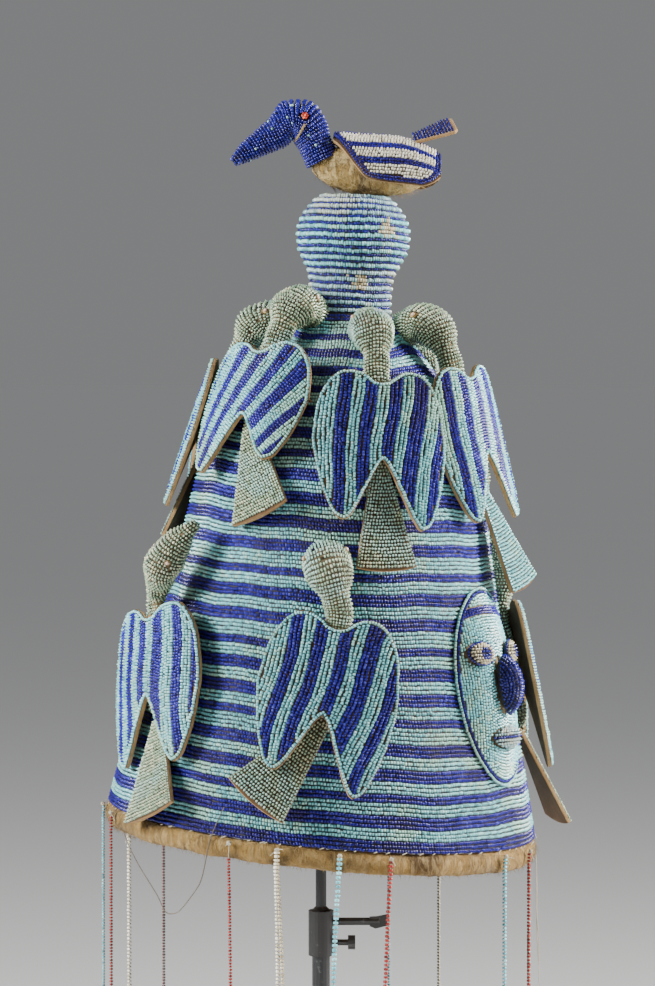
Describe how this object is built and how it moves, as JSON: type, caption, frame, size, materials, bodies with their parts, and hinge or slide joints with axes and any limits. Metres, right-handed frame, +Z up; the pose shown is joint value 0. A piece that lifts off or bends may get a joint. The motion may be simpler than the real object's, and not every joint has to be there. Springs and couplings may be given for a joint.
{
  "type": "beaded crown on stand",
  "caption": "Tall conical beaded crown with two tiers of beaded birds, a bird on top, a face and a hanging veil of bead strings, on a plain post with a round foot.",
  "frame": {"origin": "middle of the stand's foot, at its underside", "axes": "+Z up along the post; -Y is the side that the crown's face looks to; +X is that face's left-hand side"},
  "size_m": [0.27, 0.27, 0.8016],
  "materials": {
    "shell_beads": "small glass beads in bands of turquoise and dark blue, on cloth",
    "finial_beads": "rows of pale turquoise and dark blue glass beads",
    "striped_beads": "stripes of turquoise and blue glass beads on cloth",
    "white_striped_beads": "stripes of white and blue glass beads on cloth",
    "grey_green_beads": "dull grey-green glass beads wound round a stuffed form",
    "dark_blue_beads": "dark blue glass beads wound round a stuffed form",
    "face_beads": "turquoise glass beads over a padded form",
    "turquoise_string": "turquoise glass beads on a thread",
    "red_string": "dark red glass beads on a thread",
    "dark_red_string": "very dark red glass beads on a thread",
    "white_string": "off-white glass beads on a thread",
    "cream_string": "cream glass beads on a thread",
    "mixed_string": "red, dark blue and cream glass beads on a thread",
    "tan_hide": "worn tan hide with creases and short hairs",
    "thread": "twisted cotton thread",
    "backing_cloth": "brown cloth that backs and edges the beadwork",
    "black_steel": "satin black paint on steel"
  },
  "bodies": {
    "root": {"cone": "shell_beads", "rim_band": "tan_hide", "finial": "finial_beads", "top_bird_body": "tan_hide", "top_bird_head": "dark_blue_beads", "top_bird_wings": "white_striped_beads", "top_bird_tail": "dark_blue_beads", "upper1_body": "grey_green_beads", "upper1_wings": "striped_beads", "upper1_tail": "grey_green_beads", "upper2_body": "grey_green_beads", "upper2_wings": "striped_beads", "upper2_tail": "grey_green_beads", "upper3_body": "grey_green_beads", "upper3_wings": "striped_beads", "upper3_tail": "grey_green_beads", "upper4_body": "grey_green_beads", "upper4_wings": "striped_beads", "upper4_tail": "grey_green_beads", "upper5_body": "grey_green_beads", "upper5_wings": "striped_beads", "upper5_tail": "grey_green_beads", "upper6_body": "grey_green_beads", "upper6_wings": "striped_beads", "upper6_tail": "grey_green_beads", "lower1_body": "grey_green_beads", "lower1_wings": "striped_beads", "lower1_tail": "grey_green_beads", "lower2_body": "grey_green_beads", "lower2_wings": "striped_beads", "lower2_tail": "grey_green_beads", "lower3_body": "grey_green_beads", "lower3_wings": "striped_beads", "lower3_tail": "grey_green_beads", "lower4_body": "grey_green_beads", "lower4_wings": "striped_beads", "lower4_tail": "grey_green_beads", "lower5_body": "grey_green_beads", "lower5_wings": "striped_beads", "lower5_tail": "grey_green_beads", "face_plate": "face_beads", "face_nose": "dark_blue_beads", "face_eye_left": "face_beads", "face_eye_right": "face_beads", "face_mouth": "face_beads", "string01": "turquoise_string", "string02": "red_string", "string03": "white_string", "string04": "dark_red_string", "string05": "red_string", "string06": "white_string", "string07": "turquoise_string", "string08": "red_string", "string09": "turquoise_string", "string10": "cream_string", "string11": "turquoise_string", "string12": "red_string", "string13": "mixed_string", "stand_post": "black_steel", "stand_clamp": "black_steel"}
  },
  "joints": []
}
